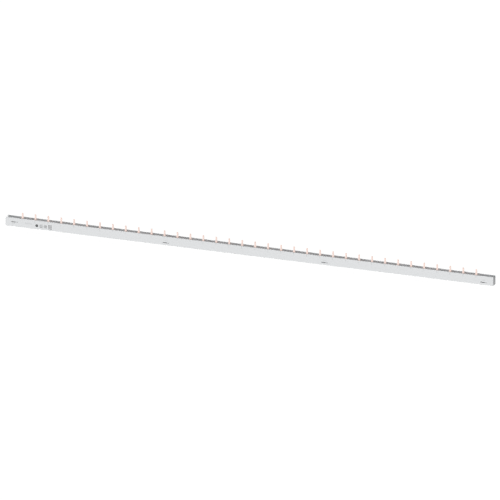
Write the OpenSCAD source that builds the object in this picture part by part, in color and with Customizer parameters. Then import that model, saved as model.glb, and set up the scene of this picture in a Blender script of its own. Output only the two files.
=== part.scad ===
// Comb busbar: three insulated copper combs, whose pins stand in one row.
// X runs along the bar, Y from its front face to its back, Z up.
// The origin is the middle of the underside.

/* [Bar] */
// Length of the housing, cut square at both ends
bar_length = 1016; // [300:1:2000]
// Depth of the housing, front to back
bar_depth = 13; // [12:0.5:24]
// Height of the housing, without the pins
bar_height = 18; // [16:0.5:30]
// Radius of the housing's long outer edges
edge_radius = 0.3; // [0.1:0.05:0.35]

/* [Housing section] */
// Thickness of the front wall
front_wall = 1.5; // [1.2:0.1:2.5]
// Thickness of the back wall beside the chamber
back_wall = 1.5; // [1.2:0.1:2.5]
// Thickness of the back wall beside the channel
back_lip = 0.8; // [0.8:0.1:1.1]
// Thickness of the bottom
bottom_wall = 1.2; // [0.8:0.1:2.5]
// Depth of the open channel, from the lips down to its floor
channel_depth = 5.4; // [3:0.1:8]
// Depth of the groove in the front wall that the pin guide's teeth reach into
groove_depth = 0.3; // [0.2:0.05:0.6]
// Radius of the bead on the back wall that holds the pin guide down
bead_radius = 0.25; // [0.1:0.05:0.4]
// Chamfer on the inner edges of the channel's lips
lip_chamfer = 0.25; // [0.1:0.05:0.3]
// Depth of the grooves in the bottom that the separators stand in
foot_depth = 0.4; // [0.2:0.05:0.6]

/* [Pitch marks] */
// Width of the mark on the front face under each pin
mark_width = 1.4; // [0.5:0.1:3]
// Depth of the mark into the front wall
mark_depth = 0.2; // [0.1:0.05:0.4]

/* [Pins] */
// Distance from one pin to the next: one and a half device modules of 18 mm
pin_pitch = 27; // [9:0.5:54]
// Distance from the left end of the bar to its first pin
first_pin = 35; // [20:0.5:60]
// Height of the pins above the housing
pin_rise = 12; // [8:0.5:20]
// Width of a pin's blade, which goes into a terminal
pin_width = 3.2; // [2:0.1:4]
// Width of a pin's neck, which stands in the channel
neck_width = 4.2; // [4:0.1:5.5]
// Height of the neck above the housing
neck_rise = 3.5; // [0.5:0.1:5]
// Width of a pin's root, which is caught under the pin guide
root_width = 6; // [5.8:0.1:8]
// Length of the chamfers at a pin's tip
tip_length = 1; // [0.5:0.1:2]
// Depth of the tip's chamfer on the two narrow sides
tip_side = 0.6; // [0.2:0.1:0.9]
// Depth of the tip's chamfer on the two broad sides
tip_face = 0.35; // [0.1:0.05:0.45]

/* [Combs] */
// Thickness of the copper sheet
copper_thickness = 1.5; // [1:0.1:1.8]
// Inner radius of the bends that bring a pin forward
bend_radius = 0.4; // [0.2:0.05:0.6]
// Radius of the fillets between a root and its strip
root_radius = 1; // [0.2:0.1:1.5]
// Clear height between a strip and the bent pins that cross above it
crossing_height = 1.9; // [1.2:0.1:3]
// Distance from the end of the bar to the ends of the strips
strip_inset = 9; // [7:0.5:15]

/* [Insulation] */
// Thickness of the pin guide, the channel's floor
guide_thickness = 1; // [0.8:0.1:1.6]
// Clear height between a separator and the bent pins that cross above it
separator_drop = 0.6; // [0.5:0.1:1]

/* [End caps] */
// Thickness of an end cap's plate
cap_thickness = 3; // [1.5:0.5:5]
// Length of the tongues that reach into the combs' pockets
tongue_length = 5; // [2:0.5:5]
// Chamfer at the tip of a tongue
tongue_chamfer = 1; // [0.5:0.1:1.5]

/* [Fits] */
// Clearance between a comb and the insulation beside it
comb_gap = 0.3; // [0.1:0.05:0.4]
// Clearance of the pin guide and the end caps in the housing
fit_gap = 0.1; // [0.05:0.05:0.2]
// Clearance between a pin's root and the pin guide above it
catch_gap = 0.2; // [0.1:0.05:0.4]
// Clearance around a pin in its notch
notch_gap = 0.2; // [0.1:0.05:0.4]

/* [Hidden] */
phases = 3;
overlap = 1;   // how far a cutting tool reaches past the face that it opens
$fn = 32;

housing_grey = [0.83, 0.835, 0.84];
separator_white = [0.9, 0.9, 0.88];
copper = [0.85, 0.58, 0.46];

// Levels, from the lips down
channel_floor = bar_height - channel_depth;
guide_bottom = channel_floor - guide_thickness;
run_top = guide_bottom - catch_gap;
run_bottom = run_top - copper_thickness;
run_middle = (run_top + run_bottom) / 2;
strip_top = run_bottom - crossing_height;
separator_top = run_bottom - separator_drop;
pin_top = bar_height + pin_rise;
shoulder = bar_height + neck_rise;

// Places from front to back
front = -bar_depth / 2;
chamber_front = front + front_wall;
chamber_back = -front - back_wall;
channel_back = -front - back_lip;
pin_y = chamber_front + comb_gap + copper_thickness / 2;
last_comb_y = chamber_back - comb_gap - copper_thickness / 2;
comb_spacing = (last_comb_y - pin_y) / (phases - 1);
separator_thickness = comb_spacing - copper_thickness - 2 * comb_gap;

// Places along the bar
end_x = bar_length / 2;
pin_count = floor((bar_length - 2 * first_pin) / pin_pitch) + 1;
inner_end = end_x - cap_thickness - fit_gap;

// Sizes that follow from the others
bend_middle = bend_radius + copper_thickness / 2;
riser_height = crossing_height - bend_radius;
root_fillet = min(root_radius, riser_height);
shoulder_taper = (neck_width - pin_width) / 2;
foot_level = bottom_wall - foot_depth;

function comb_y(comb) = pin_y + comb * comb_spacing;
function separator_y(number) = (comb_y(number) + comb_y(number + 1)) / 2;
function pin_x(i) = first_pin - end_x + i * pin_pitch;

// A section in Y and Z, drawn out along X between two places
module along_x(from, to) {
    translate([from, 0, 0])
        rotate([90, 0, 90])
            linear_extrude(to - from)
                children();
}

// An outline in X and Z, cut from sheet that stands with its middle at y
module upright_sheet(y, thickness) {
    translate([0, y + thickness / 2, 0])
        rotate([90, 0, 0])
            linear_extrude(thickness)
                children();
}

// A rectangle between two corners
module area(low, high) {
    translate(low)
        square(high - low);
}

module rounded_area(low, high, radius) {
    area(low + [radius, 0], high - [radius, 0]);
    area(low + [0, radius], high - [0, radius]);
    for (y = [low[0] + radius, high[0] - radius], z = [low[1] + radius, high[1] - radius])
        translate([y, z])
            circle(radius);
}

// Housing

module housing_section() {
    difference() {
        rounded_area([front, 0], [-front, bar_height], edge_radius);
        area([chamber_front, bottom_wall], [chamber_back, bar_height + overlap]);
        area([chamber_front, guide_bottom], [channel_back, bar_height + overlap]);
        area([chamber_front - groove_depth, guide_bottom], [chamber_front + overlap, channel_floor]);
        channel_mouth();
        for (number = [0 : phases - 2])
            separator_foot(number, fit_gap);
    }
    guide_bead();
}

// The cut that chamfers the two lips
module channel_mouth() {
    low = bar_height - lip_chamfer;
    high = bar_height + overlap;
    polygon([
        [chamber_front, low],
        [chamber_front - lip_chamfer, bar_height],
        [chamber_front - lip_chamfer, high],
        [channel_back + lip_chamfer, high],
        [channel_back + lip_chamfer, bar_height],
        [channel_back, low]
    ]);
}

// The stretch of a separator that stands in the bottom, with a clearance beside it
module separator_foot(number, gap) {
    half = separator_thickness / 2 + gap;
    area([separator_y(number) - half, foot_level], [separator_y(number) + half, bottom_wall]);
}

// Half-round bead on the back wall, just above the pin guide
module guide_bead() {
    intersection() {
        translate([channel_back, channel_floor + bead_radius])
            circle(bead_radius);
        area([channel_back - bead_radius, channel_floor], [-front, bar_height]);
    }
}

module pitch_mark() {
    translate([-mark_width / 2, front - overlap, channel_floor])
        cube([mark_width, overlap + mark_depth, channel_depth + overlap]);
}

module housing() {
    color(housing_grey)
        difference() {
            along_x(-end_x, end_x)
                housing_section();
            for (i = [0 : pin_count - 1])
                translate([pin_x(i), 0, 0])
                    pitch_mark();
        }
}

// Combs: a strip in its pocket, with every third pin of the row

// Quarter of a bent sheet: the part of the ring on one side of the bend's centre
module bend(centre, side) {
    outer = bend_radius + copper_thickness;
    translate(centre)
        intersection() {
            difference() {
                circle(outer);
                circle(bend_radius);
            }
            mirror([side < 0 ? 1 : 0, 0])
                mirror([0, side < 0 ? 1 : 0])
                    square(outer);
        }
}

// The wide root of a pin with its two fillets, from the strip up to a level
module root_outline(top) {
    half = root_width / 2;
    area([-half, bottom_wall], [half, top]);
    for (side = [0, 1])
        mirror([side, 0])
            translate([half, strip_top])
                difference() {
                    square(root_fillet);
                    translate([root_fillet, root_fillet])
                        circle(root_fillet);
                }
}

// Neck, shoulders, blade and chamfered tip, seen from the front
module pin_outline(bottom) {
    neck = neck_width / 2;
    blade = pin_width / 2;
    polygon([
        [-neck, bottom],
        [neck, bottom],
        [neck, shoulder - shoulder_taper],
        [blade, shoulder],
        [blade, pin_top - tip_length],
        [blade - tip_side, pin_top],
        [tip_side - blade, pin_top],
        [-blade, pin_top - tip_length],
        [-blade, shoulder],
        [-neck, shoulder - shoulder_taper]
    ]);
}

// The same pin, seen from the side
module pin_edge(bottom) {
    half = copper_thickness / 2;
    polygon([
        [pin_y - half, bottom],
        [pin_y + half, bottom],
        [pin_y + half, pin_top - tip_length],
        [pin_y + half - tip_face, pin_top],
        [pin_y - half + tip_face, pin_top],
        [pin_y - half, pin_top - tip_length]
    ]);
}

module upright_pin(bottom) {
    intersection() {
        upright_sheet(pin_y, 2 * copper_thickness)
            pin_outline(bottom);
        along_x(-neck_width, neck_width)
            pin_edge(bottom);
    }
}

module straight_pin() {
    upright_sheet(pin_y, copper_thickness)
        root_outline(run_top);
    upright_pin(strip_top);
}

// Up from the strip at y, forward below the pin guide, and up again in the row
module bent_pin(y) {
    low_bend = strip_top + riser_height;
    high_bend = low_bend + 2 * bend_middle;
    upright_sheet(y, copper_thickness)
        root_outline(low_bend);
    along_x(-root_width / 2, root_width / 2) {
        bend([y - bend_middle, low_bend], 1);
        area([pin_y + bend_middle, run_bottom], [y - bend_middle, run_top]);
    }
    along_x(-neck_width / 2, neck_width / 2)
        bend([pin_y + bend_middle, high_bend], -1);
    upright_pin(high_bend);
}

module comb(number) {
    y = comb_y(number);
    strip_end = end_x - strip_inset;
    color(copper) {
        upright_sheet(y, copper_thickness)
            area([-strip_end, bottom_wall], [strip_end, strip_top]);
        for (i = [number : phases : pin_count - 1])
            translate([pin_x(i), 0, 0])
                if (number == 0)
                    straight_pin();
                else
                    bent_pin(y);
    }
}

// Insulation between the combs and above them

module separator(number) {
    middle = separator_y(number);
    half = separator_thickness / 2;
    color(separator_white)
        along_x(-inner_end, inner_end)
            area([middle - half, foot_level], [middle + half, separator_top]);
}

module guide_notch() {
    half = neck_width / 2 + notch_gap;
    pin_back = pin_y + copper_thickness / 2;
    along_x(-half, half)
        area([front, guide_bottom - overlap], [pin_back + notch_gap, channel_floor + overlap]);
}

module pin_guide() {
    color(housing_grey)
        difference() {
            along_x(-inner_end, inner_end)
                area([chamber_front - groove_depth + fit_gap, guide_bottom],
                     [channel_back - fit_gap, channel_floor]);
            for (i = [0 : pin_count - 1])
                translate([pin_x(i), 0, 0])
                    guide_notch();
        }
}

// End caps: a plate that fills the end below the channel, with a tongue in each comb's pocket

module cap_section() {
    area([chamber_front + fit_gap, bottom_wall], [chamber_back - fit_gap, channel_floor]);
    area([chamber_front + fit_gap, guide_bottom], [channel_back - fit_gap, channel_floor]);
    for (number = [0 : phases - 2])
        separator_foot(number, 0);
}

// A tongue seen from the front, as thick as the comb whose pocket it closes
module tongue_outline() {
    root = end_x - cap_thickness;
    tip = root - tongue_length;
    polygon([
        [root + overlap, bottom_wall],
        [root + overlap, strip_top],
        [tip + tongue_chamfer, strip_top],
        [tip, strip_top - tongue_chamfer],
        [tip, bottom_wall + tongue_chamfer],
        [tip + tongue_chamfer, bottom_wall]
    ]);
}

module right_end_cap() {
    color(housing_grey) {
        along_x(end_x - cap_thickness, end_x)
            cap_section();
        for (number = [0 : phases - 1])
            upright_sheet(comb_y(number), copper_thickness)
                tongue_outline();
    }
}

housing();
comb(0);  // comb_1
comb(1);  // comb_2
comb(2);  // comb_3
separator(0);  // separator_1
separator(1);  // separator_2
pin_guide();
mirror([1, 0, 0]) right_end_cap();  // end_cap_left
right_end_cap();  // end_cap_right
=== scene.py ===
import math

import bmesh
import bpy
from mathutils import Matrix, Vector


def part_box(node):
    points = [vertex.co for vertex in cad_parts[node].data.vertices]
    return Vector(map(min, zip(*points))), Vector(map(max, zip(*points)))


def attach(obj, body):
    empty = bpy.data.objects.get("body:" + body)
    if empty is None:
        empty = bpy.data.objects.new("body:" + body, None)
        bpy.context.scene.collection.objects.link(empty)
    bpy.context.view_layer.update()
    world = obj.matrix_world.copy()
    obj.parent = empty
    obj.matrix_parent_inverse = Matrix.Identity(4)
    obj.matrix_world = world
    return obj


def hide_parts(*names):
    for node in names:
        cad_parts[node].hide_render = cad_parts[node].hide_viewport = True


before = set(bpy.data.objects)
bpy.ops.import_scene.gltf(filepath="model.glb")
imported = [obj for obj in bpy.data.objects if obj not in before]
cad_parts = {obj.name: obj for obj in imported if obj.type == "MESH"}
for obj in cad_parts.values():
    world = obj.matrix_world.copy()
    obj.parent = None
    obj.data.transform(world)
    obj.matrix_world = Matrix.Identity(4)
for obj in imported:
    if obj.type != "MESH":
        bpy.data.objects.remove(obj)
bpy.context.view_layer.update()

# A three-phase comb busbar: a grey insulating bar with one row of copper pins. X runs along the
# bar, Y from its front face to its back, Z up. All lengths are in metres.

MM = 0.001

# ---------------------------------------------------------------- sizes

housing_low, housing_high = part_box("housing")
guide_low, guide_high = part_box("pin_guide")
front_comb_low, front_comb_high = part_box("comb_1")

FRONT = housing_low.y
LEFT_END = housing_low.x
RIGHT_END = housing_high.x
LIP = housing_high.z
CHANNEL_FLOOR = guide_high.z
PIN_ROW = (front_comb_low.y + front_comb_high.y) / 2
PIN_TOP = front_comb_high.z
SHEET = front_comb_high.y - front_comb_low.y

PHASES = 3
PIN_PITCH = 27 * MM
FIRST_PIN = 35 * MM
PIN_COUNT = 36

BLADE_WIDTH = 3.2 * MM
NECK_WIDTH = 4.2 * MM
ROOT_WIDTH = 6 * MM
ROOT_FILLET = 1 * MM
SHOULDER = LIP + 3.5 * MM
TIP_LENGTH = 1 * MM
TIP_SIDE = 0.6 * MM
TIP_FACE = 0.35 * MM
BEND_RADIUS = 0.4 * MM
CROSSING_HEIGHT = 1.9 * MM
CATCH_GAP = 0.2 * MM
SHEARED_EDGE = 0.12 * MM
FOOT_DEPTH = 1 * MM
MARK_DEPTH = 0.2 * MM

RUN_TOP = guide_low.z - CATCH_GAP
STRIP_TOP = RUN_TOP - SHEET - CROSSING_HEIGHT
BEND_MIDDLE = BEND_RADIUS + SHEET / 2

INK = 0.03 * MM

# How finely curves are drawn
BEND_STEPS = 6
FILLET_STEPS = 5
EDGE_STEPS = 2
DISC_STEPS = 32
DOT_STEPS = 16

# Edges that turn by more than this, in degrees, are sheared ones
SHEARED_ANGLE = 35


# ---------------------------------------------------------------- shader maths


class Socket:
    """A value in a shader tree. Arithmetic on it adds Math nodes to the tree."""

    def __init__(self, shader, socket):
        self.shader = shader
        self.socket = socket

    def maths(self, operation, *values):
        sockets = dict(enumerate(values))
        return self.shader.node("ShaderNodeMath", {"operation": operation}, sockets)

    def __add__(self, other):
        return self.maths("ADD", self, other)

    def __sub__(self, other):
        return self.maths("SUBTRACT", self, other)

    def __rsub__(self, other):
        return self.maths("SUBTRACT", other, self)

    def __mul__(self, other):
        return self.maths("MULTIPLY", self, other)

    def __gt__(self, other):
        return self.maths("GREATER_THAN", self, other)

    def __lt__(self, other):
        return self.maths("LESS_THAN", self, other)

    def __abs__(self):
        return self.maths("ABSOLUTE", self)

    __radd__ = __add__
    __rmul__ = __mul__


class Shader:
    """The shader tree of a material or of the world, whose nodes are added one at a time."""

    def __init__(self, owner):
        owner.use_nodes = True
        self.tree = owner.node_tree
        self.tree.nodes.clear()

    def node(self, kind, settings=None, sockets=None, output=0):
        """Adds a node, first its settings, then its sockets' values or links.

        Returns one output, or None from a node that has none.
        """
        made = self.tree.nodes.new(kind)
        for name, value in (settings or {}).items():
            setattr(made, name, value)
        for name, value in (sockets or {}).items():
            if isinstance(value, Socket):
                self.tree.links.new(value.socket, made.inputs[name])
            else:
                made.inputs[name].default_value = value
        return Socket(self, made.outputs[output]) if made.outputs else None


class Finish(Shader):
    """A material of the object, which ends in a Principled shader."""

    def __init__(self, name):
        self.material = bpy.data.materials.new(name)
        super().__init__(self.material)

    def place(self):
        return self.node("ShaderNodeTexCoord", output="Object")

    def axes(self, vector):
        """The three parts of a vector."""
        x = self.node("ShaderNodeSeparateXYZ", sockets={0: vector})
        return x, Socket(self, x.socket.node.outputs[1]), Socket(self, x.socket.node.outputs[2])

    def noise(self, cycles, detail=3.0, roughness=0.55):
        """Noise from 0 to 1, with so many cycles to the metre along X, Y and Z."""
        sockets = {"Vector": self.place(), "Scale": cycles}
        stretched = self.node("ShaderNodeMapping", sockets=sockets)
        sockets = {"Vector": stretched, "Scale": 1.0, "Detail": detail, "Roughness": roughness}
        return self.node("ShaderNodeTexNoise", sockets=sockets)

    def blend(self, factor, low, high):
        """A colour between two, by a factor from 0 to 1."""
        sockets = {0: factor, 6: colour(low), 7: colour(high)}
        return self.node("ShaderNodeMix", {"data_type": "RGBA"}, sockets, output=2)

    def step(self, value, low, high):
        """A smooth rise from 0 to 1 as the value goes from low to high."""
        sockets = {"Value": value, "From Min": low, "From Max": high}
        return self.node("ShaderNodeMapRange", {"interpolation_type": "SMOOTHSTEP"}, sockets)

    def bump(self, height, depth):
        """Normals of a surface that the height, from 0 to 1, raises by up to that depth."""
        return self.node("ShaderNodeBump", sockets={"Height": height, "Distance": depth})

    def surface(self, **sockets):
        """Ends the material. Names are the shader's sockets, with _ for a space."""
        named = {name.replace("_", " "): value for name, value in sockets.items()}
        shader = self.node("ShaderNodeBsdfPrincipled", sockets=named)
        self.node("ShaderNodeOutputMaterial", sockets={"Surface": shader})
        return self.material


def even(cycles):
    """The same number of cycles to the metre along X, Y and Z."""
    return (cycles, cycles, cycles)


def colour(value):
    """A colour as a socket takes it, with its alpha, or the output of a node as it is."""
    return value if isinstance(value, Socket) else (*value, 1.0)


# ---------------------------------------------------------------- finishes

PVC = (0.736, 0.748, 0.758)
PVC_PALE = (0.757, 0.769, 0.779)
# Lighter tone of scuffs, also used for the painted highlight on the lips' tops
PVC_SCUFF_AND_HIGHLIGHT = (0.800, 0.812, 0.822)
PVC_SPECK = (0.560, 0.565, 0.570)
# Painted shade for the floors of the pin marks' recesses
MARK_RECESS_SHADE = (0.640, 0.650, 0.660)
SEPARATOR = (0.78, 0.78, 0.74)
SEPARATOR_PALE = (0.84, 0.84, 0.80)
COPPER = (0.978, 0.822, 0.762)
COPPER_DEEP = (0.945, 0.745, 0.672)
COPPER_STAIN = (0.800, 0.560, 0.470)
# Painted shade on the pins' sheared sides and tops
COPPER_SIDE_SHADE = (0.860, 0.640, 0.560)
COPPER_TORN = (0.620, 0.410, 0.340)
INK_GREY = (0.075, 0.077, 0.08)
INK_GREY_THIN = (0.11, 0.112, 0.115)
INK_FAINT = (0.60, 0.61, 0.62)
INK_FAINT_THIN = (0.65, 0.66, 0.67)

PLASTIC_IOR = 1.5
PLASTIC_RELIEF = 0.025 * MM
COPPER_RELIEF = 0.015 * MM
INK_RELIEF = 0.008 * MM

# Shares of the normal along one axis: a sawn end, and the turn from a face to a sheared edge
SAWN_END = 0.9
SHEARED_TURN = (0.55, 0.80)
# Noise above these levels shows as a speck
SPECK_LEVELS = (0.73, 0.77)


def extruded_pvc(name):
    """Pulled through a die: drawn lines along the bar, matt grain, painted lip highlight, sawn
    ends.
    """
    pvc = Finish(name)
    _, y, z = pvc.axes(pvc.place())
    normal_x, _, _ = pvc.axes(pvc.node("ShaderNodeNewGeometry", output="Normal"))
    sawn = abs(normal_x) > SAWN_END
    drawn = 1 - sawn
    die_lines = pvc.noise((4, 2600, 2600))
    die_bands = pvc.noise((3, 420, 420), detail=1.0)
    grain = pvc.noise(even(1900))
    cloud = pvc.noise((18, 60, 60))
    scratches = pvc.step(pvc.noise((45, 3400, 3400), detail=1.0), 0.66, 0.72) * drawn
    specks = pvc.step(pvc.noise(even(750), detail=1.0), *SPECK_LEVELS)
    saw_lines = pvc.noise((1, 260, 2900), detail=2.0)

    tone = pvc.blend(0.2 * cloud + 0.15 * die_bands + 0.65 * die_lines, PVC, PVC_PALE)
    tone = pvc.blend(scratches * 0.25, tone, PVC_SCUFF_AND_HIGHLIGHT)
    tone = pvc.blend(specks * 0.22, tone, PVC_SPECK)

    # Painted highlight: the tops of the lips are made lighter, and a little glossier.
    painted_lip_highlight = pvc.step(z + 0.12 * MM * cloud, LIP - 0.15 * MM, LIP + 0.05 * MM)
    tone = pvc.blend(painted_lip_highlight * (0.4 + 0.4 * grain), tone, PVC_SCUFF_AND_HIGHLIGHT)

    # Painted shade: the floor of each pin mark's recess is made darker.
    mark_y = FRONT + MARK_DEPTH
    painted_mark_shade = (y > mark_y - 0.05 * MM) * (y < mark_y + 0.05 * MM)
    painted_mark_shade = painted_mark_shade * (z > CHANNEL_FLOOR - 0.05 * MM) * (1 - painted_lip_highlight)
    tone = pvc.blend(painted_mark_shade * 0.7, tone, MARK_RECESS_SHADE)

    drawn_height = 0.6 * die_lines + 0.8 * die_bands - 0.7 * scratches
    height = drawn_height * drawn + saw_lines * sawn + 0.35 * grain
    return pvc.surface(
        Base_Color=tone,
        Roughness=0.40 + 0.12 * grain + 0.10 * scratches + 0.16 * sawn - 0.10 * painted_lip_highlight,
        Normal=pvc.bump(height, PLASTIC_RELIEF),
        IOR=PLASTIC_IOR,
    )


def moulded_plastic(name, low, high):
    """Injection moulded: an even spark-eroded grain, faint flow marks and a few specks."""
    plastic = Finish(name)
    grain = plastic.noise(even(2600))
    flow = plastic.noise((160, 90, 300))
    specks = plastic.step(plastic.noise(even(900), detail=1.0), *SPECK_LEVELS)
    tone = plastic.blend(0.7 * flow + 0.3 * grain, low, high)
    return plastic.surface(
        Base_Color=plastic.blend(specks * 0.3, tone, PVC_SPECK),
        Roughness=0.45 + 0.18 * grain,
        Normal=plastic.bump(grain + 0.3 * flow, PLASTIC_RELIEF),
        IOR=PLASTIC_IOR,
    )


def stamped_copper(name):
    """Rolled sheet with lines along the comb, a light bloom, and sheared edges.

    Sheared sides and tops carry painted shade; the punch entered at the front and tore them
    behind.
    """
    copper = Finish(name)
    _, y, z = copper.axes(copper.place())
    normal_x, _, normal_z = copper.axes(copper.node("ShaderNodeNewGeometry", output="Normal"))
    rolled = copper.noise((70, 4200, 4200), detail=2.0)
    bloom = copper.noise((170, 260, 260))
    stain = copper.step(copper.noise(even(420), detail=4.0), 0.60, 0.80)
    torn_grain = copper.noise((3200, 900, 3200))

    above_bar = z > CHANNEL_FLOOR
    sheared_side = copper.step(abs(normal_x), *SHEARED_TURN)
    sheared_top = copper.step(abs(normal_z), *SHEARED_TURN) * above_bar
    shaded_sheared = sheared_side + sheared_top
    torn = shaded_sheared * copper.step(y + 0.25 * MM * torn_grain, PIN_ROW - 0.20 * MM, PIN_ROW)
    # Towards the tip the copper is made darker and smoother.
    darker_tip = copper.step(z, PIN_TOP - 1.3 * TIP_LENGTH, PIN_TOP)

    tone = copper.blend(0.45 * bloom + 0.55 * rolled, COPPER_DEEP, COPPER)
    tone = copper.blend(stain * 0.30 + darker_tip * 0.25, tone, COPPER_STAIN)
    # Painted shade: the sheared sides, and the tops above the bar, are made darker than the faces.
    tone = copper.blend(shaded_sheared * 0.8, tone, COPPER_SIDE_SHADE)
    tone = copper.blend(torn * (0.35 + 0.4 * torn_grain), tone, COPPER_TORN)

    height = rolled * (1 - torn) + 1.5 * torn_grain * torn
    return copper.surface(
        Base_Color=tone,
        Metallic=0.85,
        Roughness=0.44 + 0.14 * bloom + 0.12 * stain + 0.15 * torn - 0.08 * darker_tip,
        Normal=copper.bump(height, COPPER_RELIEF),
    )


def printing_ink(name, low, high):
    """A thin matt film, uneven where the stamp pressed less."""
    ink = Finish(name)
    cover = ink.noise(even(1500), detail=2.0)
    pressed = ink.noise(even(260), detail=1.0)
    return ink.surface(
        Base_Color=ink.blend(0.5 * cover + 0.5 * pressed, low, high),
        Roughness=0.55 + 0.2 * cover,
        Normal=ink.bump(cover, INK_RELIEF),
    )


# ---------------------------------------------------------------- meshes


def keep(name, mesh, material):
    """Puts a finished mesh in the scene as a piece of the root body."""
    piece = bpy.data.objects.new(name, mesh)
    bpy.context.scene.collection.objects.link(piece)
    mesh.materials.clear()
    mesh.materials.append(material)
    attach(piece, "root")
    return piece


def loft(name, sections):
    """A closed mesh through rings that all have the same number of points."""
    bm = bmesh.new()
    rings = [[bm.verts.new(point) for point in ring] for ring in sections]
    for low, high in zip(rings, rings[1:]):
        for i in range(len(low)):
            j = (i + 1) % len(low)
            bm.faces.new((low[i], low[j], high[j], high[i]))
    bm.faces.new(reversed(rings[0]))
    bm.faces.new(rings[-1])
    bmesh.ops.recalc_face_normals(bm, faces=bm.faces)
    mesh = bpy.data.meshes.new(name)
    bm.to_mesh(mesh)
    bm.free()
    return mesh


def quarter(steps):
    """Angles from 0 to a right angle."""
    return [math.pi / 2 * i / steps for i in range(steps + 1)]


# ---------------------------------------------------------------- combs


def bends(comb_y):
    """A pin's turn forward from its strip, and its turn up again: (y, z, lean) at each ring.

    Lean is how far the sheet has turned towards the front, from 0 upright to a right angle.
    """
    low_bend = STRIP_TOP + CROSSING_HEIGHT - BEND_RADIUS
    high_bend = low_bend + 2 * BEND_MIDDLE
    forward = []
    upward = []
    for a in quarter(BEND_STEPS):
        out, along = BEND_MIDDLE * math.sin(a), BEND_MIDDLE * math.cos(a)
        forward.append((comb_y - (BEND_MIDDLE - along), low_bend + out, a))
        upward.append((PIN_ROW + (BEND_MIDDLE - out), high_bend - along, math.pi / 2 - a))
    return forward, upward


def ring(y, z, lean, half_width, half_sheet):
    """The sheet's section at one place on its path."""
    across = Vector((0, math.cos(lean), math.sin(lean))) * half_sheet
    middle = Vector((0, y, z))
    side = Vector((half_width, 0, 0))
    return [
        middle - side - across,
        middle + side - across,
        middle + side + across,
        middle - side + across,
    ]


def pin_mesh(comb_y):
    """One pin with its root, fillets and bends, standing at x = 0.

    Its foot is thinner than the sheet, so that it lies wholly inside the strip.
    """
    root = ROOT_WIDTH / 2
    neck = NECK_WIDTH / 2
    blade = BLADE_WIDTH / 2
    sheet = SHEET / 2
    rings = [ring(comb_y, STRIP_TOP - FOOT_DEPTH, 0, root, sheet / 2)]
    for a in quarter(FILLET_STEPS):
        flare = ROOT_FILLET * (1 - math.sin(a))
        level = STRIP_TOP + ROOT_FILLET * (1 - math.cos(a))
        rings.append(ring(comb_y, level, 0, root + flare, sheet))
    if comb_y - PIN_ROW < BEND_MIDDLE:
        rings.append(ring(PIN_ROW, RUN_TOP, 0, root, sheet))
        rings.append(ring(PIN_ROW, RUN_TOP, 0, neck, sheet))
    else:
        forward, upward = bends(comb_y)
        rings += [ring(*place, root, sheet) for place in forward + upward[:1]]
        rings += [ring(*place, neck, sheet) for place in upward]
    rings.append(ring(PIN_ROW, SHOULDER - (neck - blade), 0, neck, sheet))
    rings.append(ring(PIN_ROW, SHOULDER, 0, blade, sheet))
    rings.append(ring(PIN_ROW, PIN_TOP - TIP_LENGTH, 0, blade, sheet))
    rings.append(ring(PIN_ROW, PIN_TOP, 0, blade - TIP_SIDE, sheet - TIP_FACE))
    return loft("pin", rings)


def strip_mesh(low, high, comb_y):
    """The flat strip that joins a comb's pins, from its lowest to its highest X."""
    near, far = comb_y - SHEET / 2, comb_y + SHEET / 2
    corners = ((near, low.z), (far, low.z), (far, STRIP_TOP), (near, STRIP_TOP))
    return loft("strip", [[(x, y, z) for y, z in corners] for x in (low.x, high.x)])


class Tree:
    """A Geometry Nodes tree with named inputs, whose nodes are added one at a time."""

    def __init__(self, name, inputs):
        self.group = bpy.data.node_groups.new(name, "GeometryNodeTree")
        sockets = self.group.interface
        sockets.new_socket("Geometry", in_out="INPUT", socket_type="NodeSocketGeometry")
        for label, kind in inputs.items():
            sockets.new_socket(label, in_out="INPUT", socket_type=kind)
        sockets.new_socket("Geometry", in_out="OUTPUT", socket_type="NodeSocketGeometry")
        self.input = self.group.nodes.new("NodeGroupInput")
        self.output = self.group.nodes.new("NodeGroupOutput")

    def node(self, kind, settings=None, sockets=None):
        """Adds a node, first its settings, then its sockets' values or links. Returns the node."""
        made = self.group.nodes.new(kind)
        for name, value in (settings or {}).items():
            setattr(made, name, value)
        for name, value in (sockets or {}).items():
            if isinstance(value, bpy.types.NodeSocket):
                self.group.links.new(value, made.inputs[name])
            else:
                made.inputs[name].default_value = value
        return made

    def finish(self, geometry):
        self.group.links.new(geometry, self.output.inputs[0])

    def modify(self, piece, values):
        """Adds the tree to a piece as a modifier, with its inputs set by their labels."""
        modifier = piece.modifiers.new(self.group.name, "NODES")
        modifier.node_group = self.group
        for item in self.group.interface.items_tree:
            if item.in_out == "INPUT" and item.name in values:
                modifier[item.identifier] = values[item.name]


def row_inputs():
    """The named inputs of a tree that sets members in a row."""
    return {
        "Member": "NodeSocketObject",
        "Count": "NodeSocketInt",
        "First": "NodeSocketVector",
        "Pitch": "NodeSocketFloat",
        "Material": "NodeSocketMaterial",
    }


def row_of_members(tree):
    """Instances of the member at an even pitch along X."""
    given = tree.input.outputs
    step = tree.node("ShaderNodeCombineXYZ", sockets={0: given["Pitch"]})
    line = tree.node(
        "GeometryNodeMeshLine",
        sockets={
            "Count": given["Count"],
            "Start Location": given["First"],
            "Offset": step.outputs[0],
        },
    )
    member = tree.node("GeometryNodeObjectInfo", sockets={"Object": given["Member"]})
    placed = tree.node(
        "GeometryNodeInstanceOnPoints",
        sockets={"Points": line.outputs[0], "Instance": member.outputs["Geometry"]},
    )
    return tree.node("GeometryNodeRealizeInstances", sockets={0: placed.outputs[0]}).outputs[0]


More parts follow.
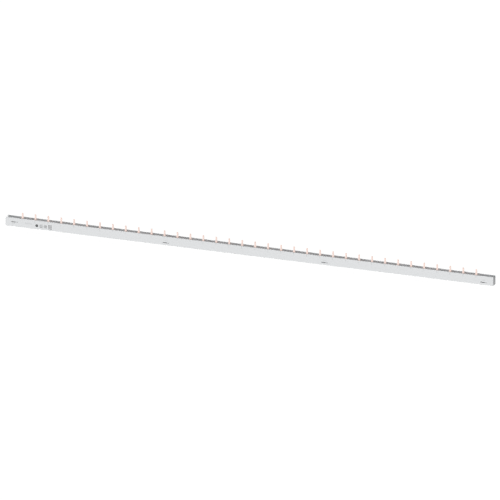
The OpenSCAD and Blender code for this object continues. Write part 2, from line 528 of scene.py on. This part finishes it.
def comb_tree():
    """Joins a row of pins to the strip that the modifier stands on."""
    tree = Tree("comb", row_inputs())
    pins = row_of_members(tree)
    joined = tree.node("GeometryNodeMeshBoolean", {"operation": "UNION", "solver": "MANIFOLD"})
    tree.group.links.new(tree.input.outputs["Geometry"], joined.inputs["Mesh 2"])
    tree.group.links.new(pins, joined.inputs["Mesh 2"])
    smooth = tree.node("GeometryNodeSetShadeSmooth", sockets={"Geometry": joined.outputs[0]})
    whole = tree.node("GeometryNodeRealizeInstances", sockets={0: smooth.outputs[0]})
    painted = tree.node(
        "GeometryNodeSetMaterial",
        sockets={"Geometry": whole.outputs[0], "Material": tree.input.outputs["Material"]},
    )
    tree.finish(painted.outputs[0])
    return tree


def row_tree():
    """A row of printed marks by itself."""
    tree = Tree("printed_row", row_inputs())
    painted = tree.node(
        "GeometryNodeSetMaterial",
        sockets={"Geometry": row_of_members(tree), "Material": tree.input.outputs["Material"]},
    )
    tree.finish(painted.outputs[0])
    return tree


def apply_tree(tree, name, base_mesh, values, bevel=0.0):
    """The plain mesh that a tree makes from a base mesh, with its edges eased."""
    base = bpy.data.objects.new(name, base_mesh)
    bpy.context.scene.collection.objects.link(base)
    tree.modify(base, values)
    if bevel:
        eased = base.modifiers.new("eased", "BEVEL")
        eased.width = bevel
        eased.segments = EDGE_STEPS
        eased.limit_method = "ANGLE"
        eased.angle_limit = math.radians(SHEARED_ANGLE)
        eased.use_clamp_overlap = False
        eased.harden_normals = True
    evaluated = base.evaluated_get(bpy.context.evaluated_depsgraph_get())
    mesh = bpy.data.meshes.new_from_object(evaluated)
    mesh.name = name
    base.modifiers.clear()
    bpy.data.objects.remove(base)
    return mesh


def helper(name, mesh):
    """An object that only a tree reads, and that is removed once it has been read."""
    made = bpy.data.objects.new(name, mesh)
    bpy.context.scene.collection.objects.link(made)
    return made


def make_combs(material):
    """Each comb as one piece, in place of the CAD's: a strip with every third pin of the row."""
    tree = comb_tree()
    for number in range(PHASES):
        node = f"comb_{number + 1}"
        low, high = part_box(node)
        comb_y = high.y - SHEET / 2
        pin = helper(f"{node}_pin", pin_mesh(comb_y))
        first = LEFT_END + FIRST_PIN + number * PIN_PITCH
        mesh = apply_tree(
            tree,
            f"{node}_sheet",
            strip_mesh(low, high, comb_y),
            {
                "Member": pin,
                "Count": len(range(number, PIN_COUNT, PHASES)),
                "First": (first, 0, 0),
                "Pitch": PHASES * PIN_PITCH,
                "Material": material,
            },
            bevel=SHEARED_EDGE,
        )
        bpy.data.objects.remove(pin)
        piece = keep(f"{node}_sheet", mesh, material)
        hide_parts(node)


# ---------------------------------------------------------------- printed marks


# Heights above the underside
MARK_LEVEL = 5 * MM
SIGN_LEVEL = 7.2 * MM
UPPER_LEVEL = 9.5 * MM

MARK_PITCH = 330 * MM
MARKS = 3
FIRST_MARK = RIGHT_END - 20 * MM - 2 * MARK_PITCH


def block(x, z, width, height):
    """The outline of a printed bar about its centre."""
    w, h = width / 2, height / 2
    return [(x - w, z - h), (x + w, z - h), (x + w, z + h), (x - w, z + h)]


def disc(x, z, radius, steps=DISC_STEPS):
    """The outline of a printed disc or dot about its centre."""
    turns = [2 * math.pi * i / steps for i in range(steps)]
    return [(x + radius * math.cos(a), z + radius * math.sin(a)) for a in turns]


def print_mesh(name, outlines):
    """Each outline as a film of ink on the front face."""
    bm = bmesh.new()
    for outline in outlines:
        near = [bm.verts.new((x, FRONT - INK, z)) for x, z in outline]
        far = [bm.verts.new((x, FRONT + INK / 3, z)) for x, z in outline]
        bm.faces.new(near)
        bm.faces.new(list(reversed(far)))
        for i in range(len(near)):
            j = (i + 1) % len(near)
            bm.faces.new((near[j], near[i], far[i], far[j]))
    mesh = bpy.data.meshes.new(name)
    bm.to_mesh(mesh)
    bm.free()
    return mesh


def bar_and_dots(z):
    """The small mark that repeats along the bar: a bar with three dots after it."""
    outlines = [block(-2.2 * MM, z, 9 * MM, 1.5 * MM)]
    outlines += [disc((3.3 + 1.5 * i) * MM, z, 0.58 * MM, DOT_STEPS) for i in range(3)]
    return outlines


def faint_stroke(x, z):
    return block(x, z, 6 * MM, 1 * MM)


def repeated_print(name, outlines, first_x, count, pitch, material):
    """The same outlines printed a number of times along the bar, as one piece."""
    member = helper(f"{name}_member", print_mesh(name, outlines))
    mesh = apply_tree(
        row_tree(),
        name,
        bpy.data.meshes.new(f"{name}_base"),
        {
            "Member": member,
            "Count": count,
            "First": (first_x, 0, 0),
            "Pitch": pitch,
            "Material": material,
        },
    )
    bpy.data.objects.remove(member)
    keep(name, mesh, material)


def sign_row():
    """A row of plain shapes: disc, three bars, three uprights and a grid of dots."""
    start = LEFT_END + 65.5 * MM
    outlines = [disc(start, SIGN_LEVEL, 2.9 * MM)]
    for i in range(3):
        bar_z = SIGN_LEVEL + (i - 1) * 2.4 * MM
        outlines.append(block(start + 9 * MM, bar_z, 6 * MM, 0.8 * MM))
    for i in range(3):
        upright_x = start + (15.6 + 2.3 * i) * MM
        outlines.append(block(upright_x, SIGN_LEVEL, 0.9 * MM, 6 * MM))
    for i in range(3):
        dot_x = start + (25.2 + 2.5 * i) * MM
        for j in range(4):
            dot_z = SIGN_LEVEL + (j - 1.5) * 2.3 * MM
            outlines.append(disc(dot_x, dot_z, 0.9 * MM, DOT_STEPS))
    return outlines


def faint_row():
    """Pale upright strokes before the row of plain shapes."""
    start = LEFT_END + 42 * MM
    return [block(start + i * 2.4 * MM, UPPER_LEVEL, 1.3 * MM, 3.2 * MM) for i in range(6)]


def make_prints(dark, pale):
    """All the ink: the repeated mark and its faint stroke, the first mark, and the signs."""
    repeated_print("print_marks", bar_and_dots(MARK_LEVEL), FIRST_MARK, MARKS, MARK_PITCH, dark)
    repeated_print("print_first_mark", bar_and_dots(UPPER_LEVEL), LEFT_END + 19 * MM, 1, 0, dark)
    faint_bar = [faint_stroke(0, UPPER_LEVEL)]
    repeated_print("print_faint_marks", faint_bar, FIRST_MARK, MARKS, MARK_PITCH, pale)
    left_faint = [faint_stroke(LEFT_END + 16.5 * MM, 5.8 * MM)]
    for name, outlines, material in (
        ("print_signs", sign_row(), dark),
        ("print_faint_signs", left_faint + faint_row(), pale),
    ):
        keep(name, print_mesh(name, outlines), material)


# ---------------------------------------------------------------- studio

# Light from the sky on the bar. The floor's own tone, and the glow that brings it to white.
WORLD_LEVEL = 0.34
FLOOR_TONE = 0.32
FLOOR_GLOW = 0.87


def seen_light(shader, strength):
    """Light that only the camera and mirror-like rays see, so that the ground reads as white."""
    camera_ray = shader.node("ShaderNodeLightPath", output="Is Camera Ray")
    glossy_ray = shader.node("ShaderNodeLightPath", output="Is Glossy Ray")
    return camera_ray.maths("MAXIMUM", camera_ray, glossy_ray) * strength


def make_floor():
    """A pale floor. Bounced light passes it, so that the sky lights the bar evenly.

    Its tone is low beside its glow, so the shadow that the bar throws on it is very faint.
    """
    bpy.ops.mesh.primitive_plane_add(size=40)
    floor = bpy.context.active_object
    floor.name = "floor"
    material = bpy.data.materials.new("pale_floor")
    pale = Shader(material)
    tone = (FLOOR_TONE, FLOOR_TONE, FLOOR_TONE, 1)
    matt = pale.node("ShaderNodeBsdfDiffuse", sockets={"Color": tone})
    glow = pale.node("ShaderNodeEmission", sockets={"Strength": seen_light(pale, FLOOR_GLOW)})
    both = pale.node("ShaderNodeAddShader", sockets={0: matt, 1: glow})
    pale.node("ShaderNodeOutputMaterial", sockets={"Surface": both})
    floor.data.materials.append(material)
    floor.visible_diffuse = False


def make_world():
    world = bpy.data.worlds.new("studio")
    bpy.context.scene.world = world
    sky = Shader(world)
    strength = WORLD_LEVEL + seen_light(sky, 1 - WORLD_LEVEL)
    sockets = {"Color": (1, 1, 1, 1), "Strength": strength}
    light = sky.node("ShaderNodeBackground", sockets=sockets)
    sky.node("ShaderNodeOutputWorld", sockets={"Surface": light})


def make_sun(name, towards, level, spread):
    """A distant soft lamp. Level is how bright it makes a white surface that faces it.

    Spread is the width of its disc in degrees.
    """
    data = bpy.data.lights.new(name, "SUN")
    data.energy = level * math.pi
    data.angle = math.radians(spread)
    lamp = bpy.data.objects.new(name, data)
    lamp.rotation_mode = "QUATERNION"
    lamp.rotation_quaternion = Vector(towards).to_track_quat("-Z", "Y")
    lamp.visible_glossy = False
    bpy.context.scene.collection.objects.link(lamp)


def make_camera():
    """A very long lens, so that the bar keeps its width from end to end."""
    lens = 1600
    distance = 43.633
    azimuth = math.radians(19.518)
    elevation = math.radians(20.565)
    aim = Vector((0.79 * MM, -0.06 * MM, 9.49 * MM))
    back = Vector((
        math.sin(azimuth) * math.cos(elevation),
        -math.cos(azimuth) * math.cos(elevation),
        math.sin(elevation),
    ))
    data = bpy.data.cameras.new("camera")
    data.lens = lens
    data.clip_start = 1
    data.clip_end = 200
    camera = bpy.data.objects.new("camera", data)
    camera.rotation_mode = "QUATERNION"
    camera.location = aim + back * distance
    camera.rotation_quaternion = (-back).to_track_quat("-Z", "Y")
    bpy.context.scene.collection.objects.link(camera)
    bpy.context.scene.camera = camera


make_camera()
make_floor()
make_world()
make_sun("front_lamp", towards=(0.15, 1, -0.05), level=0.652, spread=5)
make_sun("back_lamp", towards=(0, -1, -0.48), level=0.45, spread=20)
bpy.context.scene.view_settings.view_transform = "Standard"

dress = {
    "housing": extruded_pvc("housing_pvc"),
    "pin_guide": extruded_pvc("guide_pvc"),
    "end_cap_left": moulded_plastic("cap_plastic", PVC, PVC_PALE),
    "separator_1": moulded_plastic("separator_plastic", SEPARATOR, SEPARATOR_PALE),
}
dress["end_cap_right"] = dress["end_cap_left"]
dress["separator_2"] = dress["separator_1"]
for node, material in dress.items():
    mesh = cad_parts[node].data
    mesh.materials.clear()
    mesh.materials.append(material)

make_combs(stamped_copper("comb_copper"))
make_prints(
    printing_ink("ink_grey", INK_GREY, INK_GREY_THIN),
    printing_ink("ink_faint", INK_FAINT, INK_FAINT_THIN),
)
